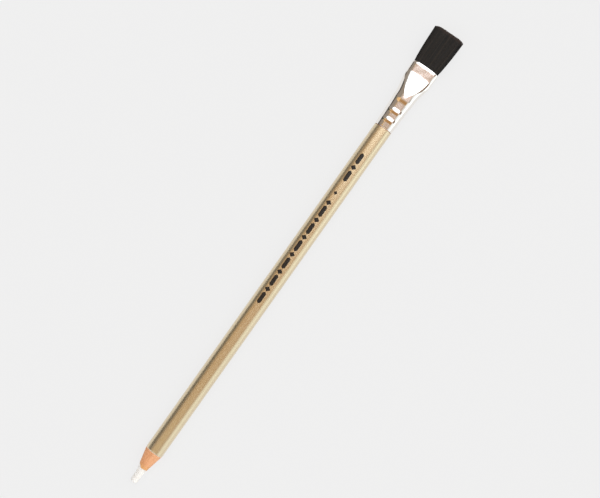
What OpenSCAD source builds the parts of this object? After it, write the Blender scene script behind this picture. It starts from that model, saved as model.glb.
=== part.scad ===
// Eraser pencil with a brush: a white rubber core glued into a round two-slat wooden pencil,
// with a flat brush set in a beaded metal ferrule at the other end.
// It lies along X, eraser tip at -X, brush at +X, the brush's broad side facing up.

/* [Eraser core] */
// Diameter of the eraser core inside the wood
core_d = 3.6; // [2.6:0.1:4.6]
// Diameter of the worn core near its tip, before the rounding
tip_d = 2.9; // [2:0.1:3.5]
// Length of core that stands out of the wood
core_exposed_l = 6.8; // [3:0.1:12]
// Radius of the rounding at the end of the core
tip_round = 0.8; // [0.2:0.1:1]

/* [Barrel] */
// Diameter of the lacquered barrel
barrel_d = 7.4; // [7:0.1:9]
// Length of the full-diameter barrel, from the cone to the ferrule
barrel_l = 150.45; // [80:0.05:180]
// Length of the sharpened cone
cone_l = 7.7; // [5:0.1:20]
// Wood left round the core at the thin end of the cone
cone_rim = 0.1; // [0.05:0.01:0.3]
// Thickness of the lacquer
lacquer_t = 0.16; // [0.1:0.01:0.2]
// Thickness of the glue between the slats and round the core
glue_t = 0.08; // [0.05:0.01:0.12]
// Length of the turned tenon that goes into the ferrule
tenon_l = 9.4; // [6:0.1:10]
// Chamfer at the end of the tenon
tenon_chamfer = 0.4; // [0.1:0.1:0.8]

/* [Ferrule] */
// How far the ferrule's tube lies below the barrel's surface, above and below the tenon
ferrule_step = 0.12; // [0.1:0.01:0.3]
// How far the tube is spread to each side at the barrel, by the pressing of its other end
oval = 0.2; // [0:0.05:0.3]
// Thickness of the ferrule's sheet metal
ferrule_wall = 0.25; // [0.2:0.01:0.35]
// Height of the rolled beads
bead_h = 0.1; // [0.05:0.01:0.2]
// Length of a bead's flank towards the tip
bead_rise = 1.1; // [0.6:0.1:1.6]
// Length of a bead's flank towards the brush
bead_fall = 1.5; // [0.8:0.1:2]
// Plain band before the first bead
first_band = 2.35; // [1:0.05:4]
// Plain band between the beads
middle_band = 1.5; // [1:0.1:4]
// Plain band between the second bead and the fan
last_band = 2.3; // [1:0.1:4]
// Height of the ridge at the root of the fan
ridge_h = 0.1; // [0.05:0.01:0.2]
// Length of the flank that climbs to that ridge
fan_rise = 1.9; // [1.2:0.1:3]
// How far the tube is spread to each side where the fan starts
flare = 0.7; // [0.3:0.05:1]
// Length of the fan, from its root ridge to the straight sleeve
fan_l = 10.7; // [6:0.1:16]
// Length of the straight flat sleeve at the mouth
sleeve_l = 4.6; // [3.5:0.1:8]
// Width where the sleeve starts
sleeve_w = 11.2; // [9:0.1:15]
// Width of the mouth
mouth_w = 11.5; // [9:0.1:15]
// Height of the mouth, between its two pressed flats
mouth_h = 4; // [3.4:0.1:5]
// Height of the oval that the flats are pressed into, along the sleeve
sleeve_oval_h = 6.9; // [6:0.1:7.2]
// Length of the rolled-in lip of the mouth
lip_l = 0.45; // [0.2:0.05:0.8]
// How far the lip is rolled in
lip_in = 0.08; // [0.05:0.01:0.15]

/* [Tuft] */
// Length of the bristles beyond the mouth
bristle_l = 15.9; // [8:0.1:30]
// Width of the tuft at its cut end
tuft_w = 13; // [11.5:0.1:18]
// Height of the tuft at its cut end
tuft_h = 4.2; // [3.5:0.1:6]
// Rows of strands through the tuft's height
strand_rows = 12; // [10:1:13]
// Strands in each row
strand_cols = 36; // [30:1:38]
// Greatest shortfall of a strand's length
ragged = 0.5; // [0:0.1:1]
// How much shorter the strands at the two edges of the tuft are
edge_round = 0.5; // [0:0.1:1.5]
// Depth of the bristles' resin slice below the mouth
root_depth = 0.6; // [0.5:0.1:1.5]
// Thickness of that slice of resin
slice_t = 1; // [0.5:0.1:1.5]

/* [Fits] */
// Clearance between the ferrule and what it holds
fit = 0.05; // [0.02:0.01:0.1]
// Gap between the barrel's shoulder and the ferrule's edge
shoulder_gap = 0.2; // [0:0.02:0.3]
// Gap between the tenon's end and the resin
plug_gap = 0.3; // [0.1:0.1:1]

/* [Hidden] */

// Steps of the rounded profiles and of the fan, and points round a section
arc_steps = 10;
bead_steps = 4;
climb_steps = 4;
fan_steps = 12;
lip_steps = 3;
section_n = 40;
round_fn = 96;
// How far a cutting shape runs past what it cuts
overshoot = 1;

// Radii, from the axis outwards
core_r = core_d / 2;
tip_r = tip_d / 2;
groove_r = core_r + glue_t;
rim_r = groove_r + cone_rim;
barrel_r = barrel_d / 2;
wood_r = barrel_r - lacquer_t;
tube_r = barrel_r - ferrule_step;
tenon_r = tube_r - ferrule_wall - fit;

// Places along the pencil, from the eraser tip
wood_front = core_exposed_l;
cone_end = wood_front + cone_l;
wood_cone_end = wood_front + cone_l * (wood_r - rim_r) / (barrel_r - rim_r);
shoulder = cone_end + barrel_l;
tenon_end = shoulder + tenon_l;

// Places along the ferrule, from the barrel's shoulder
bead_1 = first_band;
bead_2 = bead_1 + bead_rise + bead_fall + middle_band;
climb_start = bead_2 + bead_rise + bead_fall + last_band;
ridge = climb_start + fan_rise;
sleeve_start = ridge + fan_l;
mouth = sleeve_start + sleeve_l;
slice_end = mouth - root_depth;
slice_start = slice_end - slice_t;
plug_start = tenon_l + plug_gap;

total_l = shoulder + mouth + bristle_l;
tip_x = -total_l / 2;
shoulder_x = tip_x + shoulder;
axis_z = max(barrel_r, tube_r + max(bead_h, ridge_h));

// The mouth, as two round ends with a straight between them, and the shape of the fan. Its sides spread
// between these shares of its length.
mouth_r = mouth_h / 2;
mouth_flat = mouth_w / 2 - mouth_r;
ridge_r = tube_r + ridge_h;
flare_power = 1.5;
spread_start = 0.1;
spread_end = 0.95;
ridge_blend = 0.5;
oval_power = 1.5;

// The tuft's rows lie between these angles of its round ends. A strand takes up these shares of its cell
// at the root and at the cut end, where it wanders by up to a share of the cell.
row_angle = 75;
root_fill = 0.72;
end_fill = 0.5;
end_wander = 0.2;
edge_power = 8;
tuft_seed = 7;

function clamp01(v) = min(1, max(0, v));
function mix(a, b, v) = a + (b - a) * v;
function ease(v) = (1 - cos(180 * clamp01(v))) / 2;
function arc(centre, r, from, to) =
    [for (i = [0:arc_steps])
        let (a = mix(from, to, i / arc_steps))
        centre + r * [cos(a), sin(a)]];

// Places what is drawn along Z on the pencil's axis, from a place along X
module on_axis(x) {
    translate([x, 0, axis_z]) rotate([0, 90, 0]) children();
}

// Radius and distance along the pencil of the core's outline
function core_outline() =
    let (rounding = min(tip_round, tip_r))
    concat(
        [[0, 0]],
        arc([tip_r - rounding, rounding], rounding, -90, 0),
        [[core_r, wood_front], [core_r, tenon_end], [0, tenon_end]]
    );

module eraser_core() {
    color("white") on_axis(tip_x) rotate_extrude($fn = round_fn) polygon(core_outline());
}

// The wood as it leaves the lathe: cone, barrel and tenon
module turned_blank() {
    on_axis(tip_x) rotate_extrude($fn = round_fn) polygon([
        [0, wood_front],
        [rim_r, wood_front],
        [wood_r, wood_cone_end],
        [wood_r, shoulder],
        [tenon_r, shoulder],
        [tenon_r, tenon_end - tenon_chamfer],
        [tenon_r - tenon_chamfer, tenon_end],
        [0, tenon_end]
    ]);
}

// A rod through the whole casing, for the groove and for the glue round the core
module core_rod(r) {
    on_axis(tip_x + wood_front - overshoot)
        cylinder(r = r, h = tenon_end - wood_front + 2 * overshoot, $fn = round_fn);
}

// The slat on the +Y side
module slat() {
    difference() {
        turned_blank();
        translate([tip_x - overshoot, glue_t / 2 - barrel_d, axis_z - barrel_d])
            cube([total_l + 2 * overshoot, barrel_d, 2 * barrel_d]);
        core_rod(groove_r);
    }
}

module left_slat() {
    color("burlywood") slat();
}

module right_slat() {
    color("wheat") mirror([0, 1, 0]) slat();
}

// A film between the slats' flat faces and a sleeve round the core
module glue_line() {
    color("peru") difference() {
        intersection() {
            turned_blank();
            union() {
                core_rod(groove_r);
                translate([tip_x, -glue_t / 2, axis_z - barrel_d]) cube([total_l, glue_t, 2 * barrel_d]);
            }
        }
        core_rod(core_r);
    }
}

module lacquer_coat() {
    color("darkkhaki") on_axis(tip_x) rotate_extrude($fn = round_fn) polygon([
        [wood_r, wood_cone_end],
        [barrel_r, cone_end],
        [barrel_r, shoulder],
        [wood_r, shoulder]
    ]);
}

// Height of a rolled bead that starts at a distance along the ferrule
function bead_at(x, start) =
    let (crest = start + bead_rise)
    bead_h * (x < crest ? ease((x - start) / bead_rise) : ease(1 - (x - crest) / bead_fall));

// Half height of the ferrule: beads, climb to the root ridge, flats down to the sleeve, then the lip
function fan_fall(v) =
    v < ridge_blend
        ? v * v / (2 * ridge_blend - ridge_blend * ridge_blend)
        : (v - ridge_blend / 2) / (1 - ridge_blend / 2);
function lip_at(x) = lip_in * pow(clamp01((x - mouth + lip_l) / lip_l), 2);
function ferrule_r(x) =
    x < ridge
        ? tube_r + bead_at(x, bead_1) + bead_at(x, bead_2) + ridge_h * ease((x - climb_start) / fan_rise)
        : mix(ridge_r, mouth_r, fan_fall(clamp01((x - ridge) / fan_l))) - lip_at(x);

// Half height of the oval that the flats are pressed into: the tube itself up to the ridge
function fan_oval_r(v) = mix(ridge_r, sleeve_oval_h / 2, pow(clamp01(v), oval_power));
function oval_r(x) =
    x < ridge ? ferrule_r(x) : max(ferrule_r(x), fan_oval_r((x - ridge) / fan_l) - lip_at(x));

// Half width of the ferrule: the tube spreads slowly, the fan fast, the sleeve a little
function fan_half_w(v) =
    mix(ridge_r + flare, sleeve_w / 2, ease((v - spread_start) / (spread_end - spread_start)));
function ferrule_half_w(x) =
    x < ridge ? ferrule_r(x) + mix(oval, flare, pow(clamp01(x / ridge), flare_power))
    : x < sleeve_start ? fan_half_w((x - ridge) / fan_l)
    : mix(sleeve_w, mouth_w, clamp01((x - sleeve_start) / sleeve_l)) / 2 - lip_at(x);

// A section across the ferrule, at a depth below its outer skin: an oval cut off by the two flats
function section(x, depth) =
    let (
        half_w = ferrule_half_w(x) - depth,
        half_oval = oval_r(x) - depth,
        half_h = ferrule_r(x) - depth
    )
    [for (k = [0:section_n - 1])
        let (a = 360 * k / section_n)
        [shoulder_x + x, half_w * cos(a), axis_z + max(-half_h, min(half_h, half_oval * sin(a)))]];

// Triangles of a band between two rings of n points, and between the first and last ring of a stack
function band(a, b, n) =
    [for (k = [0:n - 1])
        let (j = (k + 1) % n)
        each [[a + k, b + k, b + j], [a + k, b + j, a + j]]];
function skin(first, rings, n) =
    [for (i = [0:rings - 2]) each band(first + i * n, first + (i + 1) * n, n)];
function flipped(faces) = [for (f = faces) [f[2], f[1], f[0]]];

// Distances along the ferrule at which it has a section, closer where it bends
function stretch(from, length, steps) = [for (i = [1:steps]) from + length * i / steps];
function bead_places(start) =
    let (crest = start + bead_rise)
    concat([start], stretch(start, bead_rise, bead_steps), stretch(crest, bead_fall, bead_steps));
function ferrule_places(from, to) =
    let (
        climb = concat([climb_start], stretch(climb_start, fan_rise, climb_steps)),
        fan = stretch(ridge, fan_l, fan_steps),
        lip = concat([mouth - lip_l], stretch(mouth - lip_l, lip_l, lip_steps)),
        every = concat(bead_places(bead_1), bead_places(bead_2), climb, fan, lip)
    )
    concat([from], [for (x = every) if (x > from && x < to) x], [to]);

// Sheet metal of even thickness: a tube with two beads, pressed between two plates towards the mouth
module ferrule() {
    places = ferrule_places(shoulder_gap, mouth);
    rings = len(places);
    points = concat(
        [for (x = places) each section(x, 0)],
        [for (x = places) each section(x, ferrule_wall)]
    );
    inside = rings * section_n;
    last = (rings - 1) * section_n;
    color("silver") polyhedron(points, concat(
        skin(0, rings, section_n),
        flipped(skin(inside, rings, section_n)),
        band(inside, 0, section_n),
        band(last, inside + last, section_n)
    ));
}

// It fills the ferrule from the tenon to the slice of resin that carries the bristles
module resin_plug() {
    places = ferrule_places(plug_start, slice_start);
    rings = len(places);
    points = concat(
        [for (x = places) each section(x, ferrule_wall + fit)],
        [[shoulder_x + plug_start, 0, axis_z], [shoulder_x + slice_start, 0, axis_z]]
    );
    back = rings * section_n;
    last = (rings - 1) * section_n;
    color("goldenrod") polyhedron(points, concat(
        skin(0, rings, section_n),
        [for (k = [0:section_n - 1]) [back, k, (k + 1) % section_n]],
        [for (k = [0:section_n - 1]) [back + 1, last + (k + 1) % section_n, last + k]]
    ));
}

// A point of the tuft's section at column u and row v, each from 0 to 1, for round ends of radius r
function tuft_point(u, v, r, flat) =
    let (a = mix(-row_angle, row_angle, v))
    [(flat + r * cos(a)) * (2 * u - 1), r * sin(a)];

// The four corners of a strand that fills a share of its cell, off the middle of the cell by shift
function strand_section(i, j, r, flat, share, shift = [0, 0]) =
    [for (c = [[-1, -1], [1, -1], [1, 1], [-1, 1]])
        let (p = [i + 0.5, j + 0.5] + shift + c * share / 2)
        tuft_point(p[0] / strand_cols, p[1] / strand_rows, r, flat)];

// A size of the tuft at its root, on the straight line from the cut end through the mouth
function at_root(at_mouth, at_end) = at_mouth - (at_end - at_mouth) * root_depth / bristle_l;

// Every strand stands in its own cell of one grid at the root and at the cut end, so no two can cross.
// The slice of resin is the grid's own top face, its edge and its back, all in one closed skin.
module bristles() {
    end_r = tuft_h / 2 / sin(row_angle);
    end_flat = tuft_w / 2 - end_r;
    root_r = at_root(mouth_r - ferrule_wall - lip_in - fit, end_r);
    root_flat = at_root(mouth_flat, end_flat);
    strand_count = strand_cols * strand_rows;
    grid_n = (strand_cols + 1) * (strand_rows + 1);
    shortfall = rands(0, ragged, strand_count, tuft_seed);
    wander = rands(-end_wander, end_wander, 2 * strand_count, tuft_seed + 1);

    grid = [for (j = [0:strand_rows]) for (i = [0:strand_cols])
        let (p = tuft_point(i / strand_cols, j / strand_rows, root_r, root_flat))
        [shoulder_x + slice_end, p[0], axis_z + p[1]]];
    roots = [for (j = [0:strand_rows - 1]) for (i = [0:strand_cols - 1])
        for (p = strand_section(i, j, root_r, root_flat, root_fill))
        [shoulder_x + slice_end, p[0], axis_z + p[1]]];
    ends = [for (j = [0:strand_rows - 1]) for (i = [0:strand_cols - 1])
        let (
            n = j * strand_cols + i,
            across = abs(2 * (i + 0.5) / strand_cols - 1),
            length = bristle_l - shortfall[n] - edge_round * pow(across, edge_power),
            shift = [wander[2 * n], wander[2 * n + 1]]
        )
        for (p = strand_section(i, j, end_r, end_flat, end_fill, shift))
        [shoulder_x + mouth + length, p[0], axis_z + p[1]]];

    function at(i, j) = j * (strand_cols + 1) + i;
    rim = concat(
        [for (i = [0:strand_cols - 1]) at(i, 0)],
        [for (j = [0:strand_rows - 1]) at(strand_cols, j)],
        [for (i = [strand_cols:-1:1]) at(i, strand_rows)],
        [for (j = [strand_rows:-1:1]) at(0, j)]
    );
    rim_n = len(rim);
    back = [for (k = rim) grid[k] - [slice_t, 0, 0]];
    first_root = grid_n;
    first_end = first_root + 4 * strand_count;
    first_back = first_end + 4 * strand_count;
    back_middle = first_back + rim_n;

    points = concat(grid, roots, ends, back, [[shoulder_x + slice_start, 0, axis_z]]);
    strand_faces = [for (j = [0:strand_rows - 1]) for (i = [0:strand_cols - 1])
        let (
            n = j * strand_cols + i,
            corner = [at(i, j), at(i + 1, j), at(i + 1, j + 1), at(i, j + 1)],
            root = first_root + 4 * n,
            end = first_end + 4 * n
        )
        each concat(
            [for (k = [0:3])
                let (m = (k + 1) % 4)
                each [
                    [corner[k], root + m, corner[m]], [corner[k], root + k, root + m],
                    [root + k, end + m, root + m], [root + k, end + k, end + m]
                ]],
            [[end, end + 2, end + 1], [end, end + 3, end + 2]]
        )];
    slice_faces = [for (k = [0:rim_n - 1])
        let (m = (k + 1) % rim_n)
        each [
            [rim[k], rim[m], first_back + m], [rim[k], first_back + m, first_back + k],
            [back_middle, first_back + k, first_back + m]
        ]];
    color([0.13, 0.12, 0.11]) polyhedron(points, concat(strand_faces, slice_faces));
}

eraser_core();
left_slat();
right_slat();
glue_line();
lacquer_coat();
ferrule();
resin_plug();
bristles();
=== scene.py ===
import math

import bpy
import numpy as np
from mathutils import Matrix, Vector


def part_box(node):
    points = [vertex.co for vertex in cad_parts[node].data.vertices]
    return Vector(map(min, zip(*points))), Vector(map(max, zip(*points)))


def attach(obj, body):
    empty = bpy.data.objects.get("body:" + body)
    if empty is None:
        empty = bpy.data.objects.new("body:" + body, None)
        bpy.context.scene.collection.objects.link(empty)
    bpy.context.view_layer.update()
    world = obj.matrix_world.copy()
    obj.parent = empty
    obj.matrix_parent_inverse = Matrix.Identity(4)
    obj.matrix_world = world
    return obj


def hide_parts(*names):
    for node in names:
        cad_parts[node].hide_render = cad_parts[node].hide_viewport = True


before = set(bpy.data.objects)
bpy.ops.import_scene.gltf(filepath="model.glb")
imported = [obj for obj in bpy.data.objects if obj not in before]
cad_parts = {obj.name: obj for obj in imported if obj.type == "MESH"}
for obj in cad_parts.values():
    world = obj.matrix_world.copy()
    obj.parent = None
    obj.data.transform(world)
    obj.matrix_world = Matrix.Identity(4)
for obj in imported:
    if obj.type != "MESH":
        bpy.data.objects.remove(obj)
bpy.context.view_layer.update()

# An eraser pencil with a brush, lying on a pale table and seen from straight above.
# It lies along X: eraser tip at -X, brush at +X.
# Lengths below are in millimetres, and MM turns them to metres.
MM = 0.001

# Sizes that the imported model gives
core_lo, core_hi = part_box("eraser_core")
slat_lo, slat_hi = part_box("left_slat")
coat_lo, coat_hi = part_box("lacquer_coat")
tube_lo, tube_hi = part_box("ferrule")
tuft_lo, tuft_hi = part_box("bristles")

TIP_X = core_lo.x / MM
CORE_R = (core_hi.z - core_lo.z) / 2 / MM
WOOD_FRONT_X = slat_lo.x / MM
WOOD_R = (slat_hi.z - slat_lo.z) / 2 / MM
TENON_END_X = slat_hi.x / MM
PAINT_FRONT_X = coat_lo.x / MM
SHOULDER_X = coat_hi.x / MM
BARREL_R = (coat_hi.z - coat_lo.z) / 2 / MM
AXIS_Z = (core_lo.z + core_hi.z) / 2 / MM
MOUTH_X = tube_hi.x / MM
MOUTH_W = (tube_hi.y - tube_lo.y) / MM
FERRULE_X = tube_lo.x / MM
TUFT_END_X = tuft_hi.x / MM
TUFT_W = (tuft_hi.y - tuft_lo.y) / MM
TUFT_H = (tuft_hi.z - tuft_lo.z) / MM
SLICE_X = tuft_lo.x / MM

# Sizes that the boxes don't show, as in the part's source
GLUE_T = 0.08
CONE_RIM = 0.1
GROOVE_R = CORE_R + GLUE_T
RIM_R = GROOVE_R + CONE_RIM
FIT = 0.05
FERRULE_WALL = 0.25
FERRULE_STEP = 0.12
TUBE_R = BARREL_R - FERRULE_STEP
TENON_R = TUBE_R - FERRULE_WALL - FIT
TENON_CHAMFER = 0.4
BEAD_H = 0.1
BEAD_RISE = 1.1
BEAD_FALL = 1.5
BEAD_STARTS = (2.35, 6.45)
RIDGE = 13.25
RIDGE_H = 0.1
FAN_RISE = 1.9
OVAL = 0.2
FLARE = 0.7
FAN_L = 10.7
RIDGE_BLEND = 0.5
SLEEVE_L = 4.6
SLEEVE_W = 11.2
SLEEVE_OVAL_R = 3.45
MOUTH_R = 2.0
MOUTH_FLAT = MOUTH_W / 2 - MOUTH_R
LIP_L = 0.45
LIP_IN = 0.08
SLICE_T = 1.0
TUFT_ARC = math.radians(75)

# How wide the bent edges of the ferrule's flats are, which the solid leaves sharp
EDGE_BEND = 1.7


def linear(hex_colour):
    """An sRGB hex colour as the linear RGBA that Blender's sockets take."""
    parts = [int(hex_colour[i:i + 2], 16) / 255 for i in (1, 3, 5)]
    return tuple(c / 12.92 if c <= 0.04045 else ((c + 0.055) / 1.055) ** 2.4 for c in parts) + (1.0,)


def add_node(tree, kind, inputs=None, **settings):
    """Adds a node, sets its options, and fills or links its input sockets."""
    node = tree.nodes.new(kind)
    for option, value in settings.items():
        setattr(node, option, value)
    for socket, value in (inputs or {}).items():
        if isinstance(value, bpy.types.NodeSocket):
            tree.links.new(value, node.inputs[socket])
        else:
            node.inputs[socket].default_value = value
    return node


def new_material(name, sockets):
    """A material with one Principled shader. Returns the material, its tree and the shader."""
    material = bpy.data.materials.new(name)
    material.use_nodes = True
    tree = material.node_tree
    tree.nodes.clear()
    shader = add_node(tree, "ShaderNodeBsdfPrincipled", sockets)
    add_node(tree, "ShaderNodeOutputMaterial", {"Surface": shader.outputs["BSDF"]})
    return material, tree, shader


def per_mm(x, y, z):
    """The scale that makes one unit of a pattern this many millimetres along each axis."""
    return (1 / (x * MM), 1 / (y * MM), 1 / (z * MM))


def mottle(tree, shader, size, dark, pale):
    """Gives a shader's colour soft patches of about this many millimetres."""
    where = add_node(tree, "ShaderNodeTexCoord")
    noise = add_node(tree, "ShaderNodeTexNoise", {
        "Vector": where.outputs["Object"], "Scale": 1 / (size * MM), "Detail": 2.0})
    share = add_node(tree, "ShaderNodeMapRange", {
        "Value": noise.outputs["Fac"], "From Min": 0.35, "From Max": 0.65})
    tone = add_node(tree, "ShaderNodeMix", {
        0: share.outputs[0], 6: linear(dark), 7: linear(pale)}, data_type="RGBA")
    tree.links.new(tone.outputs[2], shader.inputs["Base Color"])


def ease(v):
    """A smooth step from 0 to 1."""
    return (1 - np.cos(np.pi * np.clip(v, 0, 1))) / 2


def waver(angle, counts, seed):
    """A smooth uneven closed line, from about -1 to 1, for the edges that a blade or a brush leaves."""
    rng = np.random.default_rng(seed)
    waves = [rng.uniform(0.5, 1) * np.cos(n * angle + rng.uniform(0, 2 * np.pi)) for n in counts]
    return np.sum(waves, axis=0) / math.sqrt(len(counts))


# Meshes

def add_piece(name, points, faces, material, node=None, sharp=35):
    """A piece that rides on the pencil's one body. Points are in millimetres."""
    mesh = bpy.data.meshes.new(name)
    mesh.from_pydata((np.asarray(points) * MM).tolist(), [], faces)
    mesh.update()
    mesh.shade_smooth()
    mesh.set_sharp_from_angle(angle=math.radians(sharp))
    mesh.materials.append(material)
    piece = bpy.data.objects.new(name, mesh)
    bpy.context.scene.collection.objects.link(piece)
    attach(piece, "root")
    if node:
        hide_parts(node)
    return piece


def grid_faces(rows, columns, wrap_rows=False, wrap_columns=True, first=0):
    """Quads of a grid of points, row after row."""
    faces = []
    for i in range(rows if wrap_rows else rows - 1):
        a, b = first + i * columns, first + (i + 1) % rows * columns
        for k in range(columns if wrap_columns else columns - 1):
            j = (k + 1) % columns
            faces.append((a + k, a + j, b + j, b + k))
    return faces


def around(x, r, angle):
    """Points at radius r and an angle round the pencil's axis, from +Y towards +Z."""
    x, r, angle = np.broadcast_arrays(x, r, angle)
    return np.stack([x, r * np.cos(angle), AXIS_Z + r * np.sin(angle)], axis=-1)


# Materials

def rubber_material():
    # White vulcanised rubber, rubbed down on paper: matt and warm white,
    # with a faint unevenness from the rubbing.
    grit = 0.7
    material, tree, shader = new_material("vulcanised_white_rubber", {
        "Base Color": linear("#fdfaf4"), "Roughness": 0.7, "IOR": 1.5})
    where = add_node(tree, "ShaderNodeTexCoord")
    noise = add_node(tree, "ShaderNodeTexNoise", {
        "Vector": where.outputs["Object"], "Scale": 1 / (grit * MM), "Detail": 2.0})
    bump = add_node(tree, "ShaderNodeBump", {
        "Height": noise.outputs["Fac"], "Distance": 0.01 * MM, "Strength": 0.2})
    tree.links.new(bump.outputs["Normal"], shader.inputs["Normal"])
    return material


def cedar_material(name, early, late, seed):
    # Incense cedar cut across by a sharpener's blade: bare, matt, with long fine fibres along the pencil
    # and darker late wood between them. Fibres are drawn about three times too coarse, so that they show.
    material, tree, shader = new_material(name, {"Roughness": 0.62, "IOR": 1.5})
    where = add_node(tree, "ShaderNodeTexCoord")
    grain_place = add_node(tree, "ShaderNodeMapping", {
        "Vector": where.outputs["Object"], "Location": (seed, 0, 0), "Scale": per_mm(5, 0.7, 0.7)})
    grain = add_node(tree, "ShaderNodeTexNoise", {
        "Vector": grain_place.outputs["Vector"], "Scale": 1.0, "Detail": 4.0, "Roughness": 0.6})
    fibre_place = add_node(tree, "ShaderNodeMapping", {
        "Vector": where.outputs["Object"], "Location": (seed, 0, 0), "Scale": per_mm(1.6, 0.12, 0.12)})
    fibre = add_node(tree, "ShaderNodeTexNoise", {
        "Vector": fibre_place.outputs["Vector"], "Scale": 1.0, "Detail": 2.0})
    together = add_node(tree, "ShaderNodeMath", {
        0: grain.outputs["Fac"], 1: fibre.outputs["Fac"]}, operation="ADD")
    share = add_node(tree, "ShaderNodeMapRange", {
        "Value": together.outputs[0], "From Min": 0.75, "From Max": 1.25})
    tone = add_node(tree, "ShaderNodeMix", {
        0: share.outputs[0], 6: linear(late), 7: linear(early)}, data_type="RGBA")
    # Painted glow: the thin front of the cone is tinted yellow, standing in for the light that shines through
    # the thin wood and off it
    painted_glow_start, painted_glow_end = WOOD_FRONT_X + 0.3, WOOD_FRONT_X + 2
    along = add_node(tree, "ShaderNodeSeparateXYZ", {"Vector": where.outputs["Object"]})
    painted_glow = add_node(tree, "ShaderNodeMapRange", {
        "Value": along.outputs["X"], "From Min": painted_glow_start * MM, "From Max": painted_glow_end * MM,
        "To Min": 0.5, "To Max": 0.0})
    painted_glow_tone = add_node(tree, "ShaderNodeMix", {
        0: painted_glow.outputs[0], 6: tone.outputs[2], 7: linear("#eeb267")}, data_type="RGBA")
    tree.links.new(painted_glow_tone.outputs[2], shader.inputs["Base Color"])
    bump = add_node(tree, "ShaderNodeBump", {
        "Height": fibre.outputs["Fac"], "Distance": 0.02 * MM, "Strength": 0.6})
    tree.links.new(bump.outputs["Normal"], shader.inputs["Normal"])
    return material


def glue_material():
    # Dried wood glue: a hairline between the slats, a little darker than the wood and uneven in tone.
    material, tree, shader = new_material("dried_wood_glue", {"Roughness": 0.5, "IOR": 1.5})
    mottle(tree, shader, 0.8, "#c48b5b", "#dca473")
    return material


def lacquer_material():
    # Champagne nitrocellulose lacquer with fine pearl flakes under a clear top coat, dipped in many coats:
    # the flakes spread the light like soft metal and the clear coat gives a sharper sheen over it.
    # Flakes are drawn far coarser than real ones, so that they show as a faint unevenness.
    flake_size = 0.18
    material, tree, shader = new_material("champagne_pearl_lacquer", {
        "Roughness": 0.33, "IOR": 1.5, "Coat Weight": 1.0, "Coat Roughness": 0.2, "Coat IOR": 1.5})
    where = add_node(tree, "ShaderNodeTexCoord")
    flake = add_node(tree, "ShaderNodeTexNoise", {
        "Vector": where.outputs["Object"], "Scale": 1 / (flake_size * MM), "Detail": 2.0})
    streak_place = add_node(tree, "ShaderNodeMapping", {
        "Vector": where.outputs["Object"], "Scale": per_mm(14, 0.8, 0.8)})
    streak = add_node(tree, "ShaderNodeTexNoise", {
        "Vector": streak_place.outputs["Vector"], "Scale": 1.0, "Detail": 3.0})
    together = add_node(tree, "ShaderNodeMath", {
        0: flake.outputs["Fac"], 1: streak.outputs["Fac"]}, operation="ADD")
    share = add_node(tree, "ShaderNodeMapRange", {
        "Value": together.outputs[0], "From Min": 0.7, "From Max": 1.3})
    tone = add_node(tree, "ShaderNodeMix", {
        0: share.outputs[0], 6: linear("#e1ceaa"), 7: linear("#e6d4b1")}, data_type="RGBA")
    # The blade lays bare the pinkish primer along the front edge
    cut = add_node(tree, "ShaderNodeAttribute", attribute_name="cut_edge")
    primed = add_node(tree, "ShaderNodeMix", {
        0: cut.outputs["Fac"], 6: tone.outputs[2], 7: linear("#e8cdb4")}, data_type="RGBA")
    tree.links.new(primed.outputs[2], shader.inputs["Base Color"])
    flaked = add_node(tree, "ShaderNodeMapRange", {
        "Value": cut.outputs["Fac"], "To Min": 0.95, "To Max": 0.0})
    tree.links.new(flaked.outputs[0], shader.inputs["Metallic"])
    bump = add_node(tree, "ShaderNodeBump", {
        "Height": streak.outputs["Fac"], "Distance": 0.02 * MM, "Strength": 0.05})
    tree.links.new(bump.outputs["Normal"], shader.inputs["Normal"])
    return material


def nickel_material():
    # Bright nickel plate on thin pressed sheet: a mirror with faint drawing marks along the tube.
    material, tree, shader = new_material("bright_nickel_plate", {
        "Base Color": linear("#f6f2ed"), "Metallic": 1.0})
    where = add_node(tree, "ShaderNodeTexCoord")
    drawn_place = add_node(tree, "ShaderNodeMapping", {
        "Vector": where.outputs["Object"], "Scale": per_mm(6, 0.25, 0.25)})
    drawn = add_node(tree, "ShaderNodeTexNoise", {
        "Vector": drawn_place.outputs["Vector"], "Scale": 1.0, "Detail": 3.0})
    gloss = add_node(tree, "ShaderNodeMapRange", {
        "Value": drawn.outputs["Fac"], "From Min": 0.3, "From Max": 0.7, "To Min": 0.07, "To Max": 0.16})
    tree.links.new(gloss.outputs[0], shader.inputs["Roughness"])
    return material


def resin_material():
    # Set brush resin: amber and glossy, cloudy in places. Only its end inside the ferrule could ever be seen.
    material, tree, shader = new_material("set_amber_resin", {"Roughness": 0.25, "IOR": 1.55})
    mottle(tree, shader, 1.5, "#5c3f1c", "#7c5728")
    return material


def bristle_material():
    # Black-dyed hog bristle: near black with a faint sheen along each hair, browner towards the cut tips
    # where the dye is worn. Each hair has its own tone.
    worn_l = 1.6
    material, tree, shader = new_material("black_dyed_bristle", {"Roughness": 0.6, "IOR": 1.4})
    hair = add_node(tree, "ShaderNodeAttribute", attribute_name="hair_tone")
    body = add_node(tree, "ShaderNodeMix", {
        0: hair.outputs["Fac"], 6: linear("#040302"), 7: linear("#2f2418")}, data_type="RGBA")
    where = add_node(tree, "ShaderNodeTexCoord")
    along = add_node(tree, "ShaderNodeSeparateXYZ", {"Vector": where.outputs["Object"]})
    worn = add_node(tree, "ShaderNodeMapRange", {
        "Value": along.outputs["X"], "From Min": (TUFT_END_X - worn_l) * MM, "From Max": TUFT_END_X * MM,
        "To Min": 0.0, "To Max": 0.7})
    tone = add_node(tree, "ShaderNodeMix", {
        0: worn.outputs[0], 6: body.outputs[2], 7: linear("#4a342a")}, data_type="RGBA")
    tree.links.new(tone.outputs[2], shader.inputs["Base Color"])
    return material


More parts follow.
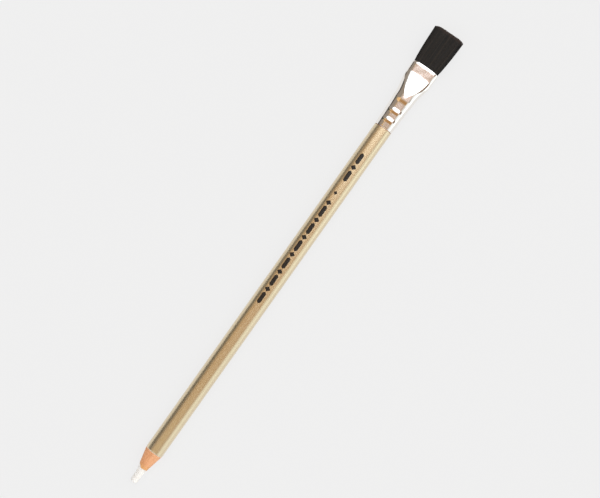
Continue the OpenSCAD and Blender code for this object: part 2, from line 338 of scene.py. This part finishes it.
def foil_material():
    # Black stamping foil pressed on the lacquer: a thin smooth film with a dull gloss,
    # a little thin in places.
    material, tree, shader = new_material("black_stamping_foil", {"Roughness": 0.35, "IOR": 1.5})
    mottle(tree, shader, 0.5, "#0f0d0c", "#26211d")
    return material


# The eraser core

def eraser_core(material):
    """The rubber rod: worn round at the tip, and a little off the middle where the cone lays it bare."""
    count = 96
    exposed = WOOD_FRONT_X - TIP_X
    rounding, rub_depth, tip_slope = 0.75, 0.02, 0.08
    along = np.concatenate([
        rounding * (1 - np.cos(np.linspace(0.12, np.pi / 2, 16))),
        np.linspace(0.9, exposed + 1.6, 60),
        [exposed + 12, TENON_END_X - TIP_X],
    ])
    places = [0, 1.2, 5.2, exposed - 0.9, exposed - 0.5, exposed - 0.1]
    taper = np.interp(along, places, [1.37, 1.4, 1.57, 1.66, 1.74, CORE_R])
    corner = rounding * np.sqrt(np.clip(1 - (1 - np.clip(along / rounding, 0, 1)) ** 2, 0, 1))
    radius = np.where(along < rounding, taper - rounding + corner, taper)
    lean = np.interp(along, [0, 5.2, exposed - 0.8, exposed - 0.1, exposed + 0.8, exposed + 12],
                     [-0.1, -0.1, 0.0, 0.14, 0.22, 0.0])
    angle = np.linspace(0, 2 * np.pi, count, endpoint=False)[None, :]
    worn = np.clip((exposed - along) / exposed, 0, 1)[:, None]
    uneven = np.minimum(rub_depth * waver(angle + 0.25 * along[:, None], (2, 3), 3), rub_depth)
    points = around(TIP_X + along[:, None], radius[:, None] + worn * uneven, angle)
    points[:, :, 1] += lean[:, None]
    end_wear = np.clip(1 - along / rounding, 0, 1)[:, None]
    points[:, :, 0] += tip_slope * end_wear * (1 + np.cos(angle - 0.6)) / 2
    rows = len(along)
    points = points.reshape(-1, 3)
    front = points[:count].mean(axis=0)
    back = points[-count:].mean(axis=0)
    points = np.vstack([points, front, back])
    faces = grid_faces(rows, count)
    last = (rows - 1) * count
    for k in range(count):
        j = (k + 1) % count
        faces += [(rows * count, j, k), (rows * count + 1, last + k, last + j)]
    return add_piece("eraser_rod", points, faces, material, "eraser_core")


# The wooden casing

def cone_r(x):
    """Radius of the sharpened cone at a place along X."""
    slope = (WOOD_R - RIM_R) / (PAINT_FRONT_X - WOOD_FRONT_X)
    return RIM_R + slope * (x - WOOD_FRONT_X)


def wood_slat(name, side, material, node, seed):
    """Half of the casing: a grooved half round with the sharpened cone in front and the tenon behind."""
    steps, barrel_rows = 72, 12
    cone_xs = np.linspace(WOOD_FRONT_X, PAINT_FRONT_X, 90)
    xs = np.concatenate([
        cone_xs,
        np.linspace(PAINT_FRONT_X + 1, SHOULDER_X, barrel_rows),
        [SHOULDER_X, TENON_END_X - TENON_CHAMFER, TENON_END_X],
    ])
    radii = np.concatenate([
        cone_r(cone_xs),
        np.full(barrel_rows, WOOD_R),
        [TENON_R, TENON_R, TENON_R - TENON_CHAMFER],
    ])
    share = np.linspace(-1, 1, steps)[None, :]
    widest = np.arccos(GLUE_T / 2 / radii)[:, None]
    outer_angle = widest * share
    groove_angle = np.arccos(GLUE_T / 2 / GROOVE_R) * share

    # The blade leaves a slanting, feathered front edge, further back on the +Y side,
    # and fine turning marks on the cone
    reach, set_back, feather_l, thin_front = 0.32, 1.2, 0.05, 0.03
    mark_depth, mark_pitch, fibre_depth = 0.008, 0.42, 0.006
    on_cone = np.clip((PAINT_FRONT_X - xs) / (PAINT_FRONT_X - WOOD_FRONT_X), 0, 1)[:, None]
    slant = reach - set_back * ease((side * np.cos(outer_angle) - 0.2) / 0.8)
    feather = slant + feather_l * waver(outer_angle, (3, 5, 9), seed)
    outer_x = xs[:, None] - feather * on_cone ** 6
    outer_r = np.where(on_cone > 0, np.maximum(cone_r(outer_x), GROOVE_R + thin_front), radii[:, None])
    fade = np.clip(4 * on_cone * (1 - on_cone), 0, 1)
    marks = mark_depth * np.sin(2 * np.pi * outer_x / mark_pitch + outer_angle)
    marks = marks + fibre_depth * waver(outer_angle * 9, (3, 7), seed)
    outer = around(outer_x, outer_r + fade * marks, outer_angle)
    groove = around(outer_x, np.full_like(outer_r, GROOVE_R), groove_angle)[:, ::-1]
    loops = np.concatenate([outer, groove], axis=1)
    loops[:, :, 1] *= side

    rows, count = loops.shape[:2]
    faces = grid_faces(rows, count)
    last = (rows - 1) * count
    for i in range(steps - 1):
        faces.append((i, count - 1 - i, count - 2 - i, i + 1))
        faces.append((last + i, last + i + 1, last + count - 2 - i, last + count - 1 - i))
    if side > 0:
        faces = [f[::-1] for f in faces]
    return add_piece(name, loops.reshape(-1, 3), faces, material, node)


def lacquer_coat(material):
    """The lacquer as a thin sleeve. Its front edge is where the blade cut through it, a little uneven."""
    count, barrel_rows = 192, 40
    cut_end = PAINT_FRONT_X + 0.3
    outside = np.concatenate([
        [PAINT_FRONT_X, cut_end - 0.08, cut_end, cut_end + 0.1, cut_end + 0.6],
        np.linspace(cut_end + 3, SHOULDER_X - 3, barrel_rows),
        [SHOULDER_X - 0.3, SHOULDER_X - 0.03, SHOULDER_X],
    ])
    outside_r = np.concatenate([
        [WOOD_R, BARREL_R - 0.04, BARREL_R - 0.01, BARREL_R, BARREL_R],
        np.full(barrel_rows, BARREL_R),
        [BARREL_R, BARREL_R, BARREL_R - 0.04],
    ])
    xs = np.concatenate([outside, [SHOULDER_X, PAINT_FRONT_X + 4]])
    radii = np.concatenate([outside_r, [WOOD_R, WOOD_R]])
    angle = np.linspace(0, 2 * np.pi, count, endpoint=False)[None, :]
    # The blade cut further back on the +Y side
    cut_back = 0.1 + 0.15 * (1 + np.cos(angle)) + 0.06 * waver(angle, (3, 7, 13, 19), 11)
    near_edge = np.clip(cut_end + 1 - xs, 0, 1)[:, None]
    points = around(xs[:, None] + cut_back * near_edge, radii[:, None], angle)
    faces = grid_faces(len(xs), count, wrap_rows=True)
    piece = add_piece("lacquer_sleeve", points.reshape(-1, 3), faces, material, "lacquer_coat")
    # The first two rings are the cut face, where the primer shows
    attribute = piece.data.attributes.new("cut_edge", "FLOAT", "POINT")
    attribute.data.foreach_set("value", np.repeat(np.arange(len(xs)) < 2, count).astype(float))
    return piece


# The ferrule

def bead_height(x):
    """Height of the two rolled beads at a distance from the barrel's shoulder."""
    height = np.zeros_like(x)
    for start in BEAD_STARTS:
        crest = start + BEAD_RISE
        rise, fall = ease((x - start) / BEAD_RISE), ease(1 - (x - crest) / BEAD_FALL)
        height += BEAD_H * np.where(x < crest, rise, fall)
    return height


def lip_depth(x):
    """How far the mouth's lip is rolled in at a distance from the barrel's shoulder."""
    return LIP_IN * np.clip((x - MOUTH_X + SHOULDER_X + LIP_L) / LIP_L, 0, 1) ** 2


def ferrule_r(x):
    """Half height of the ferrule: beads, climb to the ridge, flats down to the sleeve, rolled-in lip."""
    v = (x - RIDGE) / FAN_L
    fall = np.where(
        v < RIDGE_BLEND,
        v * v / (2 * RIDGE_BLEND - RIDGE_BLEND ** 2),
        (v - RIDGE_BLEND / 2) / (1 - RIDGE_BLEND / 2))
    before = TUBE_R + bead_height(x) + RIDGE_H * ease((x - RIDGE + FAN_RISE) / FAN_RISE)
    # The bend at the sleeve is a little rounded, as sheet metal bends
    roundness = 0.06
    left = (TUBE_R + RIDGE_H - MOUTH_R) * (1 - fall)
    after = MOUTH_R + (left + np.hypot(left, roundness)) / 2
    return np.where(v < 0, before, after) - lip_depth(x)


def oval_r(x):
    """Half height of the oval that the flats are pressed into: the tube itself up to the ridge."""
    ridge_r = TUBE_R + RIDGE_H
    oval = ridge_r + (SLEEVE_OVAL_R - ridge_r) * np.clip((x - RIDGE) / FAN_L, 0, 1) ** 1.5
    return np.maximum(ferrule_r(x), np.where(x < RIDGE, 0, oval - lip_depth(x)))


def ferrule_half_w(x):
    """Half width of the ferrule: the tube spreads slowly, the fan fast, the sleeve a little."""
    tube = ferrule_r(x) + OVAL + (FLARE - OVAL) * np.clip(x / RIDGE, 0, 1) ** 1.5
    ridge_half, sleeve_half = TUBE_R + RIDGE_H + FLARE, SLEEVE_W / 2
    fan = (x - RIDGE) / FAN_L
    fan_half = ridge_half + (sleeve_half - ridge_half) * ease((fan - 0.1) / 0.85)
    wider = (MOUTH_W / 2 - sleeve_half) * np.clip((x - RIDGE - FAN_L) / SLEEVE_L, 0, 1)
    return np.where(x < RIDGE, tube, np.where(fan < 1, fan_half, sleeve_half + wider - lip_depth(x)))


def ferrule_section(x, depth, side_n=24, bend_n=9, flat_n=12):
    """Rings of points at distances x and a depth below the skin.

    Each ring is an oval cut off by two flats, with bent edges.
    """
    steepest, most_of_flat = math.radians(88), 0.45
    half_w = (ferrule_half_w(x) - depth)[:, None]
    oval, half_h = (oval_r(x) - depth)[:, None], (ferrule_r(x) - depth)[:, None]
    crease = np.minimum(np.arcsin(np.clip(half_h / oval, 0, 1)), steepest)
    edge_y, edge_z = half_w * np.cos(crease), oval * np.sin(crease)
    bend = np.minimum(EDGE_BEND, most_of_flat * edge_y)
    side_end = crease - bend / np.hypot(half_w * np.sin(crease), oval * np.cos(crease))
    turn = side_end * np.linspace(-1, 1, 2 * side_n + 1)
    side_y, side_z = half_w * np.cos(turn), oval * np.sin(turn)
    u = np.linspace(0, 1, bend_n + 2)[1:-1]
    bend_y = (1 - u) ** 2 * side_y[:, -1:] + 2 * u * (1 - u) * edge_y + u ** 2 * (edge_y - bend)
    bend_z = (1 - u) ** 2 * side_z[:, -1:] + (1 - (1 - u) ** 2) * edge_z
    flat_y = (edge_y - bend) * np.linspace(1, -1, flat_n)
    flat_z = np.broadcast_to(edge_z, flat_y.shape)
    half_ring_y = np.concatenate([side_y, bend_y, flat_y, -bend_y[:, ::-1]], axis=1)
    half_ring_z = np.concatenate([side_z, bend_z, flat_z, bend_z[:, ::-1]], axis=1)
    y = np.concatenate([half_ring_y, -half_ring_y], axis=1)
    z = AXIS_Z + np.concatenate([half_ring_z, -half_ring_z], axis=1)
    return np.stack([np.broadcast_to(SHOULDER_X + x[:, None], y.shape), y, z], axis=-1)


def ferrule(material):
    """Thin sheet drawn to a tube, rolled with two beads and pressed between two plates towards the mouth."""
    start, mouth = FERRULE_X - SHOULDER_X, MOUTH_X - SHOULDER_X
    x = np.concatenate([
        np.linspace(start, RIDGE + 3, 150, endpoint=False),
        np.linspace(RIDGE + 3, mouth - LIP_L, 70, endpoint=False),
        np.linspace(mouth - LIP_L, mouth, 8),
    ])
    outer = ferrule_section(x, 0)
    y, along = outer[:, :, 1], x[:, None]
    # The edge at the barrel is turned in a little
    turn_depth, turn_l = 0.08, 0.4
    turned_in = turn_depth * np.clip(1 - (along - start) / turn_l, 0, 1) ** 2
    outer[:, :, 1:] -= turned_in[:, :, None] * (outer[:, :, 1:] - (0, AXIS_Z)) / TUBE_R
    # The press leaves the sheet a little wavy,
    # and the sleeve's flats rise slightly until just before the mouth
    sleeve_rise = 0.012
    press = np.clip((along - RIDGE) / FAN_L, 0, 1)
    dents = 0.003 * np.sin(1.9 * along + 1.3 * y) + 0.0025 * np.sin(3.7 * y - 0.8 * along + 1.0)
    dents += sleeve_rise * np.clip(along - RIDGE - FAN_L, 0, None)
    upright = np.sign(outer[:, :, 2] - AXIS_Z)
    outer[:, :, 2] += upright * dents * press * (1 - np.clip(along - mouth + 1, 0, 1))
    inner = ferrule_section(x, FERRULE_WALL)[::-1]
    rings = np.concatenate([outer, inner])
    # The mouth is cut a little round, more so on the +Y side
    left_cut, right_cut, cut_l = 0.5, 0.25, 4
    across = rings[:, :, 1] / (MOUTH_W / 2)
    cut_back = np.where(across > 0, left_cut, right_cut) * np.abs(across) ** 2.5
    ring_x = np.concatenate([x, x[::-1]])[:, None]
    rings[:, :, 0] -= cut_back * ease((ring_x - mouth + cut_l) / cut_l)
    faces = [f[::-1] for f in grid_faces(len(rings), rings.shape[1], wrap_rows=True)]
    points = rings.reshape(-1, 3)
    return add_piece("beaded_ferrule", points, faces, material, "ferrule", sharp=9)


# The tuft

def tuft_places(u, v, r, flat):
    """Places across the tuft for shares u and v, from 0 to 1, of its width and its height."""
    turn = TUFT_ARC * (2 * v - 1)
    return (flat + r * np.cos(turn)) * (2 * u - 1), r * np.sin(turn)


def bristle_tuft(material):
    """Single hairs, set in the resin slice and trimmed straight, with a few that stray."""
    rng = np.random.default_rng(21)
    rows, columns, sides = 22, 84, 4
    hair_r, root_depth = 0.085, 0.2
    bend_at = np.array([0, 0.06, 0.16, 0.35, 0.6, 0.82, 0.97, 1.0])
    girth = np.array([1, 1, 1, 1, 0.97, 0.93, 0.85, 0.5])
    j, i = np.divmod(np.arange(rows * columns), columns)
    hairs = rows * columns
    u = (i + 0.5 + rng.uniform(-0.35, 0.35, hairs)) / columns
    v = (j + 0.5 + rng.uniform(-0.35, 0.35, hairs)) / rows

    mouth_r = MOUTH_R - FERRULE_WALL - LIP_IN - FIT - hair_r
    end_r = (TUFT_H / 2 - hair_r) / math.sin(TUFT_ARC)
    end_flat = TUFT_W / 2 - end_r - hair_r
    stray = np.where(rng.random(hairs) < 0.05, 3.0, 1.0)
    end_u = np.clip(u + stray * rng.normal(0, 0.006, hairs), 0, 1)
    end_v = np.clip(v + stray * rng.normal(0, 0.02, hairs), 0, 1)
    root_y, root_z = tuft_places(u, v, mouth_r, MOUTH_FLAT)
    end_y, end_z = tuft_places(end_u, end_v, end_r, end_flat)

    root_x = SLICE_X + SLICE_T - root_depth
    # Most hairs end on the trimmed line, a few fall short, and the corners are worn, more so on the +Y side
    trim = rng.uniform(0, 0.12, hairs) + np.where(rng.random(hairs) < 0.04, rng.uniform(0.2, 0.9, hairs), 0)
    side = 2 * u - 1
    corner = np.where(side > 0, 0.6, 0.3) * np.abs(side) ** 10
    end_x = TUFT_END_X - trim - corner - 0.1 * (1 + side)
    bow_y, bow_z = rng.normal(0, 0.06, hairs) * stray ** 0.5, rng.normal(0, 0.05, hairs)

    points = []
    clump = 0.5 + 0.5 * np.sin(41 * u + 3 * np.sin(9 * u) + 5 * v)
    tone = np.clip(rng.beta(1.3, 2.6, hairs) * (0.5 + clump), 0, 1)
    mouth_share = (MOUTH_X - root_x) / (TUFT_END_X - root_x)
    for share, thick in zip(bend_at, girth):
        open_share = max(0, (share - mouth_share) / (1 - mouth_share))
        bow = math.sin(math.pi * open_share)
        x = root_x + (end_x - root_x) * share
        y = root_y + (end_y - root_y) * open_share ** 0.6 + bow_y * bow
        z = AXIS_Z + root_z + (end_z - root_z) * open_share ** 0.6 + bow_z * bow
        ring = []
        for k in range(sides):
            a = 2 * math.pi * k / sides + math.pi / 4
            r = hair_r * thick
            ring.append(np.stack([x, y + r * math.cos(a), z + r * math.sin(a)], axis=-1))
        points.append(np.stack(ring, axis=1))
    points = np.stack(points, axis=1)
    rings = len(bend_at)
    tones = np.repeat(tone, rings * sides)
    faces = []
    for n in range(hairs):
        first = n * rings * sides
        faces += [f[::-1] for f in grid_faces(rings, sides, first=first)]
        last = first + (rings - 1) * sides
        faces += [tuple(range(first + sides - 1, first - 1, -1)), tuple(range(last, last + sides))]
    points = points.reshape(-1, 3)

    # The resin slice that the hairs stand in
    slice_x = np.array([SLICE_X, SLICE_X + SLICE_T]) - SHOULDER_X
    rings_of_slice = ferrule_section(slice_x, FERRULE_WALL + LIP_IN + FIT)
    count = rings_of_slice.shape[1]
    first = len(points)
    points = np.vstack([points, rings_of_slice.reshape(-1, 3)])
    faces += [f[::-1] for f in grid_faces(2, count, first=first)]
    faces += [tuple(range(first + count - 1, first - 1, -1)), tuple(range(first + count, first + 2 * count))]
    piece = add_piece("bristle_tuft", points, faces, material, "bristles", sharp=60)
    attribute = piece.data.attributes.new("hair_tone", "FLOAT", "POINT")
    attribute.data.foreach_set("value", np.concatenate([tones, np.full(2 * count, 0.1)]))
    return piece


# The stamp on the barrel

def stamp_patch(start, end, half_h, point_l):
    """A bar pointed at both ends: places along X, and its half heights there, measured round the barrel."""
    blunt = 0.02
    along = np.linspace(start, end, 2 + max(12, int((end - start) * 6)))
    reach = np.minimum(along - start, end - along)
    return along, np.maximum(half_h * np.clip(reach / point_l, 0, 1), blunt)


def foil_stamp(material):
    """A plain stamped border of bars and diamonds, pressed in black foil along the top of the barrel."""
    across = np.linspace(-1, 1, 9)
    middle = math.radians(81)
    foil_top, foil_under = BARREL_R + 0.012, BARREL_R + 0.002
    # Each motif is its start and end along X, its half height and the length of its points
    pitch, bar, diamond = 8, (0.8, 0.7), (1.2, 1.1)
    bars = [(-21.4 + pitch * k, -16.2 + pitch * k) + bar for k in range(6)]
    diamonds = [(-15.9 + pitch * k, -13.7 + pitch * k) + diamond for k in range(6)]
    ends = [(28.9, 30.5, 0.8, 0.8), (35.0, 40.0) + bar, (40.4, 42.6) + diamond, (43.0, 48.0) + bar]
    points, faces = [], []
    for start, end, half_h, point_l in bars + diamonds + ends:
        along, half = stamp_patch(start, end, half_h, point_l)
        turn = middle + half[:, None] * across / BARREL_R
        top = around(along[:, None], foil_top, turn)
        under = around(along[:, None], foil_under, turn)
        rows, count = turn.shape
        first = sum(len(p) for p in points)
        second = first + rows * count
        points += [top.reshape(-1, 3), under.reshape(-1, 3)]
        faces += grid_faces(rows, count, wrap_columns=False, first=first)
        faces += [f[::-1] for f in grid_faces(rows, count, wrap_columns=False, first=second)]
        rim = (list(range(count)) + [r * count + count - 1 for r in range(1, rows)]
               + [(rows - 1) * count + k for k in range(count - 2, -1, -1)]
               + [r * count for r in range(rows - 2, 0, -1)])
        for a, b in zip(rim, rim[1:] + rim[:1]):
            faces.append((first + b, first + a, second + a, second + b))
    return add_piece("foil_stamp", np.vstack(points), faces, material)


# The stage

def studio_room():
    """A studio with timber overhead and a white softbox over the brush end.

    A black card stands at +Y and a white one at -Y. The room is only light. A zone lies round
    a direction: it starts at one nearness to it and is full at another. Later zones lie over earlier ones.
    """
    world = bpy.data.worlds.new("studio_room")
    bpy.context.scene.world = world
    world.use_nodes = True
    tree = world.node_tree
    tree.nodes.clear()
    where = add_node(tree, "ShaderNodeTexCoord")
    brush_end, up, left, right = (1, 0, 0), (0, 0, 1), (0, 1, 0), (0, -1, 0)
    over_brush = (0.966, 0, 0.259)
    zones = [
        # Overhead, straw, brown and pink tones over the timber
        (brush_end, -0.16, -0.28, (0.61, 0.54, 0.28)),
        (brush_end, 0.02, 0.08, (0.56, 0.42, 0.26)),
        (brush_end, 0.1, 0.13, (0.52, 0.4, 0.33)),
        (brush_end, 0.14, 0.185, (0.94, 0.73, 0.64)),
        # Pale walls low down
        (up, 0.25, 0.12, (0.9, 0.9, 0.9)),
        # Two small warm lamps towards +Y, and a brown screen towards the brush and +Y
        ((0.05, 0.55, 0.834), 0.986, 0.996, (0.95, 0.62, 0.3)),
        ((0.05, 0.75, 0.659), 0.986, 0.996, (0.95, 0.62, 0.3)),
        ((0.94, 0.341, 0), 0.27, 0.34, (0.3, 0.24, 0.19)),
        # A dark screen between the eraser end and +Y, with a paler rim
        ((-0.8, 0.6, 0), 0.46, 0.58, (0.31, 0.285, 0.2)),
        ((-0.8, 0.6, 0), 0.54, 0.66, (0.03, 0.028, 0.023)),
        # The eraser end: a cool window, dimmer low down and in one corner
        (brush_end, -0.36, -0.5, (1.25, 1.35, 1.55)),
        ((-0.8, 0, -0.6), 0.2, 0.4, (0.6, 0.6, 0.62)),
        ((-0.6, -0.65, 0.46), 0.84, 0.95, (0.55, 0.54, 0.55)),
        # The brush end: the softbox, dimmer low down and in one corner
        (over_brush, 0.45, 0.475, (2.95, 3.13, 3.3)),
        (brush_end, 0.4, 0.48, (2.4, 2.5, 2.62)),
        (brush_end, 0.6, 0.7, (1.8, 1.9, 2.0)),
        ((0.8, 0, -0.6), 0.2, 0.4, (0.6, 0.6, 0.62)),
        ((0.55, 0.7, 0.45), 0.84, 0.96, (0.32, 0.28, 0.24)),
        # The black card and the white one, with a brighter part and a brown patch above it
        (left, 0.93, 0.98, (0.08, 0.075, 0.07)),
        (right, 0.67, 0.85, (1.03, 1.09, 1.09)),
        ((0.35, -0.937, 0), 0.84, 1.0, (1.45, 1.58, 1.58)),
        ((0.38, -0.78, 0.5), 0.96, 0.985, (0.3, 0.22, 0.17)),
    ]
    timber = (0.44, 0.23, 0.09, 1)
    light = timber
    for towards, start, full, colour in zones:
        nearness = add_node(tree, "ShaderNodeVectorMath", {
            0: where.outputs["Generated"], 1: towards}, operation="DOT_PRODUCT")
        share = add_node(tree, "ShaderNodeMapRange", {
            "Value": nearness.outputs["Value"], "From Min": start, "From Max": full},
            interpolation_type="SMOOTHSTEP")
        mix = add_node(tree, "ShaderNodeMix", {
            0: share.outputs[0], 6: light, 7: colour + (1,)}, data_type="RGBA")
        light = mix.outputs[2]
    background = add_node(tree, "ShaderNodeBackground", {"Color": light, "Strength": 1.0})
    add_node(tree, "ShaderNodeOutputWorld", {"Surface": background.outputs["Background"]})


def table_top():
    """A pale table. It shows its own pale grey for the most part, so that the shadow on it stays faint."""
    size, gap_under, own_glow = 10.0, 0.02, 0.88
    corners = [(-size, -size, 0), (size, -size, 0), (size, size, 0), (-size, size, 0)]
    mesh = bpy.data.meshes.new("table_top")
    mesh.from_pydata(corners, [], [(0, 1, 2, 3)])
    table = bpy.data.objects.new("table_top", mesh)
    table.location.z = -gap_under * MM
    bpy.context.scene.collection.objects.link(table)
    # Matt white card: even and without gloss.
    material = bpy.data.materials.new("matt_white_card")
    material.use_nodes = True
    tree = material.node_tree
    tree.nodes.clear()
    pale = linear("#f0f0f0")
    card = add_node(tree, "ShaderNodeBsdfDiffuse", {"Color": pale})
    glow = add_node(tree, "ShaderNodeEmission", {"Color": pale, "Strength": 1.0})
    rays = add_node(tree, "ShaderNodeLightPath")
    seen = add_node(tree, "ShaderNodeMath", {
        0: rays.outputs["Is Camera Ray"], 1: rays.outputs["Is Glossy Ray"]}, operation="MAXIMUM")
    seen = add_node(tree, "ShaderNodeMath", {
        0: seen.outputs[0], 1: rays.outputs["Is Transmission Ray"]}, operation="MAXIMUM")
    share = add_node(tree, "ShaderNodeMath", {0: seen.outputs[0], 1: own_glow}, operation="MULTIPLY")
    mix = add_node(tree, "ShaderNodeMixShader", {
        0: share.outputs[0], 1: card.outputs["BSDF"], 2: glow.outputs["Emission"]})
    add_node(tree, "ShaderNodeOutputMaterial", {"Surface": mix.outputs["Shader"]})
    mesh.materials.append(material)


def camera_above():
    """The photograph's view: straight down, with the pencil's axis turned across the frame."""
    camera = bpy.data.cameras.new("camera_above")
    camera.lens = 67.6
    camera.sensor_width = 36.0
    camera.clip_start = 0.01
    camera.clip_end = 50.0
    view = bpy.data.objects.new("camera_above", camera)
    view.location = (0.0046, -0.00072, 0.4337)
    view.rotation_euler = (0, 0, math.radians(-54.69))
    bpy.context.scene.collection.objects.link(view)
    bpy.context.scene.camera = view


def show_node(name, material):
    """A CAD node that stays as it is and gets its finish here."""
    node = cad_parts[name]
    node.data.materials.clear()
    node.data.materials.append(material)


bpy.context.scene.view_settings.view_transform = "Standard"
camera_above()
studio_room()
table_top()

eraser_core(rubber_material())
wood_slat("left_wood_slat", 1, cedar_material("sharpened_cedar_left", "#f6b37f", "#e39e6c", 0.0),
          "left_slat", 5)
wood_slat("right_wood_slat", -1, cedar_material("sharpened_cedar_right", "#fabd8e", "#eca775", 7.0),
          "right_slat", 8)
show_node("glue_line", glue_material())
lacquer_coat(lacquer_material())
foil_stamp(foil_material())
ferrule(nickel_material())
show_node("resin_plug", resin_material())
bristle_tuft(bristle_material())
